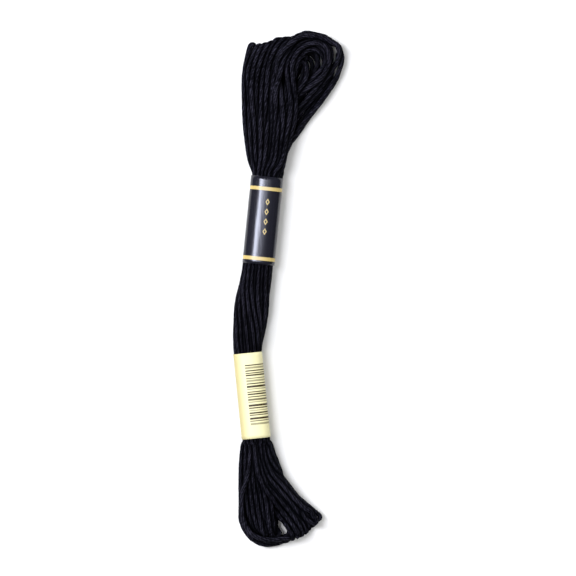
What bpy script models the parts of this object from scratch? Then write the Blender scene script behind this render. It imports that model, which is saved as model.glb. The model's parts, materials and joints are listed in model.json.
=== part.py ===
"""Hank of six-strand embroidery floss, held by two paper bands.

The hank lies flat on its back. X is across it, Y is along it and Z is up, with the
origin on the surface that it lies on, under the middle of its outline. All sizes below
are in millimetres.

The floss is wound round and round into one long flat ring of 24 turns. Two paper bands
squeeze the ring shut, and its turns spread at each end into a fan of loops. Neighbouring
turns keep together as locks, which is how the fans are built here.
"""

import math

import bmesh
import bpy
from mathutils import Matrix, Vector

MM = 0.001

# Paper bands
WALL = 1.0  # thickness of a band
GAP = 0.3  # clearance between a band and the floss inside it
BAND_HEIGHT = 7.0
BAND_SIDES = 40  # points round a band
BAND_SQUARE = 2.7  # 2 is an ellipse, higher is squarer
BAND_FLAT = 0.35  # how much the underside is pressed flat
BAND_SLANT = 0.6  # a slanting band's corners reach this far past the ends of its axis

# name, upper end x and y, lower end x and y, width
UPPER_BAND = ("Upper_Band", -7.54, 36.7, -10.40, 8.3, 10.8)
LOWER_BAND = ("Lower_Band", -13.90, -21.0, -11.15, -48.6, 9.65)

# Body of the hank
BODY_POINTS = 48  # points round the body
BODY_SQUARE = 2.3  # 2 is an ellipse, higher is squarer
BODY_SAG = 0.45  # how far the loose body sags below the surface, which cuts it flat
RIDGES = 12  # strands that show round the body
RIDGE_DEPTH = 0.28
TWIST = 0.030  # turn of the ridges for each millimetre of length, in radians
STEP = 3.6  # spacing of the cross sections
LEAST_STEP = 1.6  # a cross section closer than this to a waist's own is left out
WAIST_EASE = 1.4  # length over which the floss swells out past a band's edge

# Sections of the body from the lower fan to the upper one.
# y along the hank, x of its middle, full width, height of its top
BODY = (
    (-62.0, -9.6, 7.0, 3.4),
    (-56.0, -10.2, 10.4, 4.6),
    (-51.5, -10.9, 10.4, 6.0),
    (-48.6, -11.15, 9.65, 7.0),
    (-21.0, -13.90, 9.65, 7.0),
    (-17.5, -13.8, 10.0, 7.0),
    (-9.6, -13.0, 10.6, 7.2),
    (-3.9, -12.3, 10.8, 7.3),
    (1.9, -11.5, 10.8, 7.3),
    (8.3, -10.40, 10.8, 7.0),
    (36.7, -7.54, 10.8, 7.0),
    (40.5, -7.1, 11.3, 6.2),
    (45.0, -6.5, 11.6, 5.0),
    (51.0, -5.4, 9.0, 3.8),
)

# Locks of the fans
LOCK_RADIUS = 1.62
LOCK_RINGS = 2  # more is rounder
FOOT_RADIUS = 1.05  # a lock is squeezed thin where it comes out from under a band
LOCK_SWELL = 1 / 3  # share of a fan's length over which a lock grows to its full thickness
LOCK_SPACING = 4.4  # spacing of the rings along a leg
LEG_BENDS = ((0.0, 0.0), (0.3, 0.7), (0.62, 1.0))  # share of the way to the head, of the bow
HEAD_STEPS = 8  # rings round the head of a loop
UPPER_FOOT = 39.0  # y where the locks of the upper fan start
LOWER_FOOT = -51.0

# A lock leaves the body at its foot, runs to a half-round head and comes back lower down.
# foot: x of the leg on top; bow: how far that leg bends sideways;
# crest_x, crest_y: the far point of the head; width: from leg to leg, negative when the
# leg on top is the right-hand one; drop: length of the head; lean: degrees that the head
# leans to the right; back_bow, back: the same for the leg that returns to the body;
# top_z, back_z: heights of the two legs' middles
UPPER_LOCKS = (
    # foot, bow, crest_x, crest_y, width, drop, lean, back_bow, back, top_z, back_z
    (-11.2, -2.2, -9.2, 78.3, 4.4, 6.0, 20, 0.0, -10.2, 3.3, 1.5),
    (-9.9, -1.5, -5.9, 79.4, 4.2, 6.5, 22, 0.0, -9.0, 3.5, 1.4),
    (-8.6, -1.0, -2.3, 80.4, 4.2, 6.5, 24, 0.5, -7.8, 3.6, 1.5),
    (-7.2, -0.5, 1.3, 81.2, 4.6, 6.5, 26, 0.5, -6.4, 3.6, 1.4),
    (-5.8, 0.2, 5.0, 82.3, 5.4, 6.5, 28, 1.0, -5.2, 3.5, 1.5),
    (-4.4, 2.6, 9.0, 80.0, 15.0, 6.6, 27, -1.6, -4.4, 3.9, 3.4),
    (-5.0, 0.5, 12.4, 81.2, 14.4, 6.4, 36, -2.2, -4.0, 2.2, 2.0),
    (-6.4, 0.5, 9.9, 77.2, 8.4, 6.0, 32, -1.5, -5.0, 1.4, 1.6),
    (-6.0, 0.5, 8.0, 73.6, 3.4, 5.0, 30, -1.0, -5.4, 1.5, 1.3),
)
LOWER_LOCKS = (
    (-13.6, -1.3, -9.4, -82.0, 4.4, 7.0, 14, 0.0, -12.6, 3.0, 1.4),
    (-12.6, -1.2, -3.6, -81.0, 15.4, 10.5, 12, -1.6, -9.6, 3.9, 1.5),
    (-11.8, 0.6, -5.4, -82.0, 2.4, 7.0, 8, 0.0, -11.4, 3.2, 1.4),
    (-10.6, -0.4, 2.0, -80.0, -2.6, 7.0, 24, -1.0, -10.2, 3.6, 1.5),
    (-9.6, -1.0, 4.6, -78.6, -3.4, 7.0, 32, -1.4, -9.8, 3.7, 1.5),
    (-8.8, -1.6, 6.9, -76.5, -3.6, 7.0, 40, -1.8, -9.4, 3.6, 1.4),
    (-8.2, -2.0, 8.8, -74.2, -3.6, 6.5, 52, -2.0, -9.0, 3.3, 1.5),
    (-13.0, -0.4, -8.2, -79.2, 4.6, 7.0, 8, -0.4, -12.2, 1.6, 1.4),
)

MIDDLE = (-0.81, 0.37)  # middle of the finished outline, moved to the origin at the end

# Block under the surface that cuts the hank flat
FLOOR_SIZE = (60.0, 200.0, 20.0)

# Edges sharper than these angles keep a crease, in degrees
BAND_CREASE = 40
FLOSS_CREASE = 50

# name, colour, roughness, metallic
FLOSS = ("Floss", (0.010, 0.010, 0.017), 0.75, 0.0)
BLACK_PAPER = ("Black_Paper", (0.012, 0.012, 0.018), 0.25, 0.0)
CREAM_PAPER = ("Cream_Paper", (0.930, 0.890, 0.560), 0.35, 0.0)


def clear_scene():
    for thing in list(bpy.data.objects):
        bpy.data.objects.remove(thing, do_unlink=True)


def material(name, colour, roughness, metallic):
    made = bpy.data.materials.new(name)
    made.use_nodes = True
    shader = made.node_tree.nodes["Principled BSDF"]
    shader.inputs["Base Color"].default_value = (*colour, 1.0)
    shader.inputs["Roughness"].default_value = roughness
    shader.inputs["Metallic"].default_value = metallic
    made.diffuse_color = (*colour, 1.0)
    return made


def smooth_step(t):
    t = min(max(t, 0.0), 1.0)
    return t * t * (3.0 - 2.0 * t)


def through(points, steps):
    """A smooth curve through the points, with the given number of steps on each span."""
    padded = [points[0] * 2 - points[1], *points, points[-1] * 2 - points[-2]]
    curve = [points[0]]
    for i, count in enumerate(steps):
        p0, p1, p2, p3 = padded[i : i + 4]
        for k in range(1, count + 1):
            t = k / count
            bend = (p0 * 2 - p1 * 5 + p2 * 4 - p3) * t + (p1 * 3 - p0 - p2 * 3 + p3) * t * t
            curve.append((p1 * 2 + (p2 - p0) * t + bend * t) * 0.5)
    return curve


def rounded(angle, square):
    """A point on a rounded square of half size 1."""
    c, s = math.cos(angle), math.sin(angle)
    power = 2.0 / square
    return math.copysign(abs(c) ** power, c), math.copysign(abs(s) ** power, s)


def loft(bm, rings):
    """Skins closed rings of points, and caps both ends."""
    made = [[bm.verts.new(p) for p in ring] for ring in rings]
    count = len(made[0])
    for low, high in zip(made, made[1:]):
        for i in range(count):
            j = (i + 1) % count
            bm.faces.new((low[i], low[j], high[j], high[i]))
    for ring in (made[0], made[-1]):
        bm.faces.new(ring)
    bmesh.ops.recalc_face_normals(bm, faces=bm.faces)


def link(name, mesh, look=None):
    thing = bpy.data.objects.new(name, mesh)
    bpy.context.scene.collection.objects.link(thing)
    if look:
        mesh.materials.append(look)
    return thing


def guide(thing):
    """A shape that only takes part in a Boolean."""
    thing.hide_render = True
    thing.display_type = "WIRE"
    return thing


def band(spec, look):
    """A sleeve round the hank, pressed flat where it lies on the surface."""
    name, top_x, top_y, low_x, low_y, width = spec
    top, low = Vector((top_x, top_y)), Vector((low_x, low_y))
    along = (top - low).normalized()
    across = Vector((along.y, -along.x))
    bm = bmesh.new()
    loops = []
    for centre in (low, top):
        for inset in (0.0, WALL):
            ring = []
            half = width / 2 - inset
            rise = (BAND_HEIGHT + BAND_FLAT) / 2 - inset
            for k in range(BAND_SIDES):
                u, v = rounded(math.tau * k / BAND_SIDES, BAND_SQUARE)
                plan = centre + across * (half * u)
                z = (BAND_HEIGHT - BAND_FLAT) / 2 + rise * v
                ring.append(bm.verts.new(Vector((*plan, max(z, inset))) * MM))
            loops.append(ring)
    low_out, low_in, top_out, top_in = loops
    for a, b in ((low_out, top_out), (top_out, top_in), (top_in, low_in), (low_in, low_out)):
        for i in range(BAND_SIDES):
            j = (i + 1) % BAND_SIDES
            bm.faces.new((a[i], a[j], b[j], b[i]))
    bmesh.ops.recalc_face_normals(bm, faces=bm.faces)
    mesh = bpy.data.meshes.new(name)
    bm.to_mesh(mesh)
    bm.free()
    mesh.shade_smooth()
    mesh.set_sharp_from_angle(angle=math.radians(BAND_CREASE))
    return link(name, mesh, look)


def section(y):
    """Middle, width and top of the body at a place along the hank."""
    for a, b in zip(BODY, BODY[1:]):
        if y <= b[0]:
            break
    t = (y - a[0]) / (b[0] - a[0])
    return [p + (q - p) * t for p, q in zip(a[1:], b[1:])]


def squeeze(y):
    """How far a band squeezes the floss at y: 1 inside the band, 0 clear of it."""
    most = 0.0
    for _, _, top_y, _, low_y, _ in (UPPER_BAND, LOWER_BAND):
        past = max(y - top_y - BAND_SLANT, low_y - BAND_SLANT - y)
        most = max(most, 1.0 - smooth_step(past / WAIST_EASE))
    return most


def body_mesh():
    """The wound body, waisted under the bands and ridged by its strands."""
    first, last = BODY[0][0], BODY[-1][0]
    waists = []
    for _, _, top_y, _, low_y, _ in (LOWER_BAND, UPPER_BAND):
        for edge, way in ((low_y - BAND_SLANT, -1), (top_y + BAND_SLANT, 1)):
            waists += [edge, edge + way * WAIST_EASE / 2, edge + way * WAIST_EASE]
    count = round((last - first) / STEP)
    spread = [first + (last - first) * k / count for k in range(count + 1)]
    clear = [y for y in spread if all(abs(y - waist) > LEAST_STEP for waist in waists)]
    rings = []
    for y in sorted(waists + clear):
        x, width, top = section(y)
        tight = squeeze(y)
        inset = (WALL + GAP) * tight
        low = inset - BODY_SAG * (1.0 - tight)
        half, rise = width / 2 - inset, (top - inset - low) / 2
        ring = []
        for k in range(BODY_POINTS):
            angle = math.tau * k / BODY_POINTS
            u, v = rounded(angle, BODY_SQUARE)
            ridge = RIDGE_DEPTH * (1 + math.cos(RIDGES * (angle - TWIST * y))) / 2
            reach = 1.0 - ridge / math.hypot(half * u, rise * v)
            ring.append(Vector((x + half * u * reach, y, low + rise + rise * v * reach)) * MM)
        rings.append(ring)
    bm = bmesh.new()
    loft(bm, rings)
    mesh = bpy.data.meshes.new("Floss_Hank")
    bm.to_mesh(mesh)
    bm.free()
    return mesh


def lock_path(row, foot_y):
    """Centreline of a lock: leg, head and returning leg."""
    foot, bow, crest_x, crest_y, width, drop, lean, back_bow, back, top_z, back_z = row
    way = math.copysign(1.0, crest_y)
    lean = math.radians(lean)
    axis = Vector((math.sin(lean), way * math.cos(lean)))
    across = Vector((math.cos(lean), -way * math.sin(lean)))
    centre = Vector((crest_x, crest_y)) - axis * drop
    head = []
    for k in range(HEAD_STEPS + 1):
        angle = math.pi * (1.0 - k / HEAD_STEPS)
        plan = centre + across * (width / 2 * math.cos(angle)) + axis * (drop * math.sin(angle))
        z = top_z + (back_z - top_z) * smooth_step(k / HEAD_STEPS)
        head.append(Vector((*plan, z)))
    legs = []
    for start, bend, end, z in (
        (foot, bow, head[0], top_z),
        (back, back_bow, head[-1], back_z),
    ):
        start = Vector((start, foot_y, z))
        legs.append([start.lerp(end, way_up) + Vector((bend * share, 0, 0))
                     for way_up, share in LEG_BENDS])
    up, down = legs
    points = [*up, *head, *reversed(down)]
    spans = [max(1, round((q - p).length / LOCK_SPACING)) for p, q in zip(points, points[1:])]
    return through(points, spans)


def lock(name, row, foot_y):
    """A fat strand swept along its path, thin at both feet."""
    path = lock_path(row, foot_y)
    curve = bpy.data.curves.new(name, "CURVE")
    curve.dimensions = "3D"
    curve.bevel_depth = LOCK_RADIUS * MM
    curve.bevel_resolution = LOCK_RINGS
    curve.use_fill_caps = True
    spline = curve.splines.new("POLY")
    spline.points.add(len(path) - 1)
    swell_length = abs(row[3] - foot_y) * LOCK_SWELL
    for point, place in zip(spline.points, path):
        point.co = (*(place * MM), 1.0)
        swell = smooth_step(abs(place.y - foot_y) / swell_length)
        point.radius = (FOOT_RADIUS + (LOCK_RADIUS - FOOT_RADIUS) * swell) / LOCK_RADIUS
    shape = bpy.data.objects.new(name + "_Curve", curve)
    bpy.context.scene.collection.objects.link(shape)
    bpy.context.view_layer.update()
    mesh = bpy.data.meshes.new_from_object(
        shape.evaluated_get(bpy.context.evaluated_depsgraph_get()))
    bpy.data.objects.remove(shape, do_unlink=True)
    return guide(link(name, mesh))


def fill_hollows(mesh):
    """Keeps the outer skin only, so no hollow is left sealed between the strands."""
    bm = bmesh.new()
    bm.from_mesh(mesh)
    skins, left = [], set(bm.verts)
    while left:
        skin, edge = set(), [left.pop()]
        while edge:
            vert = edge.pop()
            skin.add(vert)
            for link_edge in vert.link_edges:
                other = link_edge.other_vert(vert)
                if other in left:
                    left.remove(other)
                    edge.append(other)
        skins.append(skin)
    skins.sort(key=len, reverse=True)
    for skin in skins[1:]:
        bmesh.ops.delete(bm, geom=list(skin), context="VERTS")
    bm.to_mesh(mesh)
    bm.free()


def hank(look):
    """One solid: the body and the locks of both fans, cut flat underneath."""
    thing = link("Floss_Hank", body_mesh(), look)
    locks = bpy.data.collections.new("Locks")
    bpy.context.scene.collection.children.link(locks)
    for fan, rows, foot_y in (("Upper", UPPER_LOCKS, UPPER_FOOT),
                              ("Lower", LOWER_LOCKS, LOWER_FOOT)):
        for number, row in enumerate(rows, 1):
            strand = lock("%s_Lock_%d" % (fan, number), row, foot_y)
            bpy.context.scene.collection.objects.unlink(strand)
            locks.objects.link(strand)
    join = thing.modifiers.new("Join_Locks", "BOOLEAN")
    join.operation = "UNION"
    join.operand_type = "COLLECTION"
    join.collection = locks
    join.solver = "EXACT"
    join.use_self = True

    bm = bmesh.new()
    bmesh.ops.create_cube(bm, size=1.0)
    bmesh.ops.scale(bm, vec=Vector(FLOOR_SIZE) * MM, verts=bm.verts)
    bmesh.ops.translate(bm, vec=Vector((0, 0, -FLOOR_SIZE[2] / 2 * MM)), verts=bm.verts)
    mesh = bpy.data.meshes.new("Floor_Cut")
    bm.to_mesh(mesh)
    bm.free()
    cutter = guide(link("Floor_Cut", mesh))
    cut = thing.modifiers.new("Lie_Flat", "BOOLEAN")
    cut.operation = "DIFFERENCE"
    cut.object = cutter
    cut.solver = "EXACT"
    bpy.context.view_layer.update()
    joined = bpy.data.meshes.new_from_object(
        thing.evaluated_get(bpy.context.evaluated_depsgraph_get()))
    thing.modifiers.clear()
    thing.data = joined
    fill_hollows(joined)
    joined.shade_smooth()
    joined.set_sharp_from_angle(angle=math.radians(FLOSS_CREASE))
    return thing


def main():
    clear_scene()
    floss, black, cream = (material(*look) for look in (FLOSS, BLACK_PAPER, CREAM_PAPER))
    for piece in (hank(floss), band(UPPER_BAND, black), band(LOWER_BAND, cream)):
        piece.data.transform(Matrix.Translation(Vector((-MIDDLE[0], -MIDDLE[1], 0)) * MM))


main()
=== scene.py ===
"""Hank of embroidery floss: 24 turns of six-ply cotton, held flat by two paper bands.

The floss is one thread. Its loops are drawn from short tables, settled so that the strands
lie beside and on each other, and swept with the six plies twisted into them.

Places are in millimetres in the hank's own frame until a mesh is made of them: x across
the hank, y along it towards the wider fan, z up from the surface that it lies on.
"""

import json
import math
from collections import namedtuple
from itertools import cycle, product

import bmesh
import bpy
import numpy as np
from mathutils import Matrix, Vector

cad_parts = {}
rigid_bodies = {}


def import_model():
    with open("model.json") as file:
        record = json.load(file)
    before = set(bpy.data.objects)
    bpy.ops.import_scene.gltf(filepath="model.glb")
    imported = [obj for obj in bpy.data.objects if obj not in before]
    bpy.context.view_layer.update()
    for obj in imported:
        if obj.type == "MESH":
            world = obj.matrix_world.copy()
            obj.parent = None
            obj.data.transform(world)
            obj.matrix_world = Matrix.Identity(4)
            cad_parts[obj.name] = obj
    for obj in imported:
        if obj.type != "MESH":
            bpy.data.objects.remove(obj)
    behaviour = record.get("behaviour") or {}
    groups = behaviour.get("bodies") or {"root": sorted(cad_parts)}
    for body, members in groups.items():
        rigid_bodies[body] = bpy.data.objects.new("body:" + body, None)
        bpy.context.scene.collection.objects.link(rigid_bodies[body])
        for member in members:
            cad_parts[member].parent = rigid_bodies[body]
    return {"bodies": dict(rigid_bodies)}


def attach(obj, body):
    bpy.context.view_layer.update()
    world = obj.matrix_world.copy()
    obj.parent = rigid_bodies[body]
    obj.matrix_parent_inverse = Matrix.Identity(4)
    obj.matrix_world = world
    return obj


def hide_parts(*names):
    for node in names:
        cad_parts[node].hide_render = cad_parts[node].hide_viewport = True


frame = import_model()

bl_info = {
    "name": "Hank of embroidery floss",
    "version": (1, 0, 0),
    "blender": (4, 5, 0),
    "location": "View3D > Sidebar > Hank",
    "description": "Winds a hank of six-ply floss and wraps its two paper bands",
    "category": "Object",
}

MM = 0.001
TINY = 1e-9
(ROOT,) = frame["bodies"]  # the whole hank is one body

# Bands: x and y of the upper end, x and y of the lower end, width, and where the strip of
# paper starts, in millimetres round from the middle of the face
Band = namedtuple("Band", "top_x top_y low_x low_y width seam")
UPPER_BAND = Band(-6.73, 35.95, -9.59, 7.75, 10.80, 13.0)
LOWER_BAND = Band(-13.09, -21.00, -10.34, -48.55, 9.65, 12.0)
BAND_HEIGHT = 7.0
BAND_FLAT = 0.35  # how much of the height the flat underside takes away
BAND_SQUARE = 2.7  # power of the rounded square that a band's section is

# Body of the hank: y, x of its middle, width and height that the strands fill
BODY_Y, BODY_X, BODY_WIDTH, BODY_HEIGHT = zip(
    (-56.4, -9.4, 10.6, 4.4),
    (-51.9, -10.1, 10.2, 5.4),
    (-49.0, -10.3, 9.3, 6.1),
    (-21.4, -13.1, 9.3, 6.1),
    (-17.9, -13.0, 9.7, 6.1),
    (-10.0, -12.2, 10.4, 6.1),
    (-4.3, -11.5, 10.7, 6.1),
    (1.5, -10.7, 10.7, 6.1),
    (7.9, -9.6, 10.4, 6.1),
    (36.3, -6.7, 10.4, 6.1),
    (40.1, -6.3, 11.0, 5.8),
    (44.6, -5.7, 11.6, 4.8),
)

# Looseness of the floss along the hank: y, share of the way from a band's thickness to a fan's
LOOSE_Y, LOOSE_SHARE = zip(
    (-76.0, 1.0),
    (-68.0, 0.8),
    (-60.0, 0.45),
    (-52.0, 0.15),
    (-48.0, 0.0),
    (-23.0, 0.0),
    (-18.0, 0.2),
    (-8.0, 0.4),
    (3.0, 0.35),
    (9.6, 0.1),
    (34.6, 0.1),
    (37.6, 0.3),
    (43.6, 0.6),
    (51.6, 0.85),
    (61.6, 1.0),
)

# Strands in each layer under a band, from the top layer down
LAYERS = (6, 8, 9, 9, 9, 7)
TOP_LAYER = 0.86  # height of the top layer's middle, as a share of half the height
LAYER_FILL = 0.93  # share of the band's width that a layer's strands fill

PLIES = 6
PLY_POINTS = 3  # points of the thread's section for each ply
SECTION_POINTS = PLIES * PLY_POINTS
STRETCHES = 6  # pieces that the thread is cut into

# The fans' loops
UNEVEN = 0.1  # how far a loop strays from its place
LAYER_RISE = 1.2  # every other leg underneath lies this much higher
UNDERNEATH = 1.9  # a leg drawn lower than this is underneath
UNDERNEATH_EASE = 0.8  # fully so when it is this much lower

# The loops of the two fans. Each family has its number of loops and then drawings, which are
# points x, y, z from the leg on top over the head to the leg underneath. Its loops are spread
# evenly from the first drawing to the last.
UPPER_LOOPS = (
    # upright strands that lean more and more to the right at the top
    (7,
     ((-12.2, 42, 3.4), (-13.1, 47.5, 3), (-13.8, 54, 2.8), (-14.1, 60, 2.7), (-14.1, 66, 2.7),
      (-13.6, 71, 2.7), (-12.8, 75.2, 2.7), (-12.2, 77.9, 2.5), (-11.4, 79.4, 2.1),
      (-10.4, 78.9, 1.5), (-10.8, 76.8, 1.1), (-12.2, 72, 0.9), (-13, 65, 0.8), (-13, 57, 0.8),
      (-12, 49, 0.9), (-10.6, 42, 1.4)),
     ((-9.9, 42, 4.4), (-10.3, 47.5, 4.1), (-10.8, 54, 3.9), (-11.2, 60, 3.8), (-11.2, 66, 3.7),
      (-10.5, 71, 3.7), (-9.2, 75, 3.6), (-8.2, 77.4, 3.4), (-7, 78.7, 2.8), (-5.7, 78.3, 1.9),
      (-5.1, 76.4, 1.3), (-5.4, 71.5, 1), (-6.4, 64.5, 0.9), (-7.2, 57, 0.9), (-7.6, 49, 1),
      (-7.8, 42, 1.4)),
     ((-8.3, 42, 4.7), (-8.2, 47.5, 4.4), (-8.3, 54, 4.1), (-8.4, 60, 4), (-8.2, 66, 3.9),
      (-7.4, 71, 3.8), (-6.1, 75.2, 3.8), (-5, 78.5, 3.7), (-3.3, 80.7, 3.2), (-1.4, 80.5, 2.2),
      (0, 77.8, 1.5), (0.2, 73, 1.1), (-1.4, 66, 0.9), (-3.4, 58, 0.9), (-5, 50, 1),
      (-6.2, 42, 1.4)),
     ((-6.6, 42, 4.8), (-6.1, 47.5, 4.5), (-5.8, 54, 4.2), (-5.6, 60, 4.1), (-5.4, 66, 4),
      (-4.5, 71.5, 3.9), (-2.9, 76, 3.9), (-1.2, 79, 3.8), (1.4, 80.8, 3.2), (4.2, 81.3, 2.4),
      (7.5, 80.5, 1.7), (10.8, 77.5, 1.2), (11.6, 72.6, 0.9), (8.9, 65.3, 0.9), (2.9, 57.6, 1),
      (-3.2, 42, 1.6))),
    # strands that go round outside the eye and make the right edge
    (2,
     ((-6.3, 42, 4.7), (-5.4, 49.5, 4.3), (-4.6, 56.7, 4), (-4.4, 63.2, 3.9), (-4, 69, 3.8),
      (-2.8, 73.4, 3.8), (-0.4, 77.3, 3.6), (2.5, 80.9, 3.2), (5.9, 82.8, 2.4), (9.6, 81.7, 1.8),
      (13.4, 80.2, 1.3), (16.7, 77.7, 1), (17.5, 74.3, 0.9), (16.8, 70.2, 0.9), (14.1, 65, 0.9),
      (9.6, 58.8, 0.9), (4.5, 53, 0.9), (1, 48.1, 1.1), (-1.5, 42, 1.8)),
     ((-5.1, 42, 4.8), (-4.2, 49.5, 4.4), (-3.6, 56.7, 4.1), (-3.7, 63.2, 4), (-3.6, 68.8, 3.9),
      (-2.8, 72.9, 3.8), (-0.6, 76.7, 3.7), (2.2, 80.3, 3.3), (5.7, 82.4, 2.6), (9.5, 81.6, 2.2),
      (13.3, 80.1, 1.7), (16.5, 77.6, 1), (17.4, 74.3, 0.9), (16.7, 70.2, 0.9), (14, 65.1, 0.9),
      (9.5, 58.9, 0.9), (4.4, 53.1, 0.9), (1, 48.2, 1.1), (-1.5, 42, 1.8))),
    # strands next to them, with the small openings between
    (2,
     ((-4, 42, 4.8), (-3.1, 49.5, 4.5), (-2.7, 56.7, 4.3), (-2.9, 63.2, 4.1), (-3.2, 68.6, 3.9),
      (-2.7, 72.4, 3.9), (-0.9, 76.1, 3.8), (1.8, 79.2, 3.5), (5.4, 81.3, 2.9), (9.4, 81.2, 2.3),
      (13.1, 79.8, 1.7), (15.9, 77.4, 1), (16, 74.4, 0.9), (14.9, 70.8, 0.9), (12.8, 65.8, 0.9),
      (8.4, 59.8, 0.9), (3.4, 53.9, 0.9), (-0.2, 48.8, 1.1), (-2.6, 42, 1.7)),
     ((-2.8, 42, 4.9), (-1.9, 49.5, 4.6), (-1.7, 56.7, 4.4), (-2.2, 63.2, 4.2), (-2.8, 68.4, 4),
      (-2.6, 71.9, 3.9), (-1.1, 75.5, 3.8), (1.5, 78.6, 3.6), (5, 80.9, 3.3), (9.3, 81.1, 2.9),
      (13, 79.7, 2.6), (15.8, 77.4, 2.5), (16, 74.5, 2.5), (14.4, 70.8, 2.5), (11.5, 66.4, 2.5),
      (7, 61.3, 2.4), (2.3, 55.9, 2.2), (-0.6, 50.2, 1.9), (-3.2, 42, 2.2))),
    # the two strands in front, round the eye
    (2,
     ((-2, 41.1, 5.2), (-0.7, 46.9, 5.1), (0.5, 52.8, 5), (0.9, 58, 4.9), (0.3, 63.2, 4.9),
      (-0.8, 68.4, 4.9), (-1.3, 71.9, 4.8), (-0.3, 75.5, 4.7), (2.1, 78.3, 4.5), (5.4, 80.4, 4.2),
      (9.1, 81.1, 3.9), (12.2, 79.5, 3.7), (14, 76.6, 3.6), (14.1, 73.2, 3.6), (12.8, 69.7, 3.6),
      (9.4, 65.3, 3.5), (4.9, 61, 3.2), (1.1, 57, 2.5), (-1.1, 51.5, 1.9), (-3.4, 41.7, 1.9)),
     ((-1.3, 41.1, 4.6), (0, 46.3, 4.6), (1.4, 52.1, 4.6), (1.9, 57.3, 4.6), (1.7, 62.5, 4.6),
      (1.1, 67.7, 4.6), (0.6, 71.6, 4.5), (1.1, 74.5, 4.4), (2.8, 77, 4.2), (5.7, 78.9, 3.9),
      (9.3, 79.6, 3.6), (12, 78.3, 3.4), (13.1, 75.5, 3.3), (12.9, 72.6, 3.3), (11, 69.3, 3.3),
      (7.4, 66.2, 3.2), (3.6, 62.6, 2.8), (0.5, 58.8, 2.2), (-1.8, 52.1, 1.7),
      (-4.1, 41.7, 1.7))),
    # loops nested inside the eye
    (7,
     ((-5.5, 42, 2), (-3.6, 50, 1.8), (-2, 57, 1.7), (-0.2, 63, 1.5), (1.7, 68, 1.3),
      (2.8, 71.2, 1.2), (3.7, 72.8, 1.2), (4.4, 72, 1.3), (4.5, 69.8, 1.3), (4.1, 67.4, 1.2),
      (3.1, 65.2, 1.1), (1.2, 62, 1.1), (-1, 57, 1), (-3.2, 50, 1.1), (-5.2, 42, 1.4)),
     ((-3, 42, 2.8), (-1, 50, 2.5), (0.2, 57, 2.3), (0.9, 63, 2.1), (1.6, 68.5, 2),
      (3.2, 74, 2.2), (6.2, 77.6, 2.4), (9.6, 78.6, 2.5), (12.4, 76.4, 2.6), (12.6, 73, 2.6),
      (10.4, 70.2, 2.6), (6.6, 66.8, 2.4), (1.6, 62, 1.9), (-1.4, 52, 1.5), (-3.8, 42, 1.5))),
    # loops underneath
    (4,
     ((-11.4, 42, 2.6), (-12.5, 50, 2.1), (-13.1, 57, 2), (-13.1, 64, 2), (-12.4, 70, 1.9),
      (-11.8, 75, 1.8), (-10.5, 77.5, 1.5), (-8.6, 77, 1.1), (-7.4, 73, 0.9), (-7.4, 66, 0.8),
      (-7.8, 58, 0.8), (-8, 50, 0.9), (-8.4, 42, 1.2)),
     ((-5, 42, 2.8), (-4, 50, 2.5), (-3.5, 57, 2.3), (-3.6, 64, 2.2), (-3.2, 70, 2.1),
      (-1, 75, 1.9), (2.6, 78, 1.6), (8.4, 77.7, 1.1), (9.4, 73.4, 0.9), (5.8, 66.6, 0.8),
      (1.4, 59, 0.8), (-1.4, 51, 0.9), (-4.2, 42, 1.2))),
)
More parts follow.
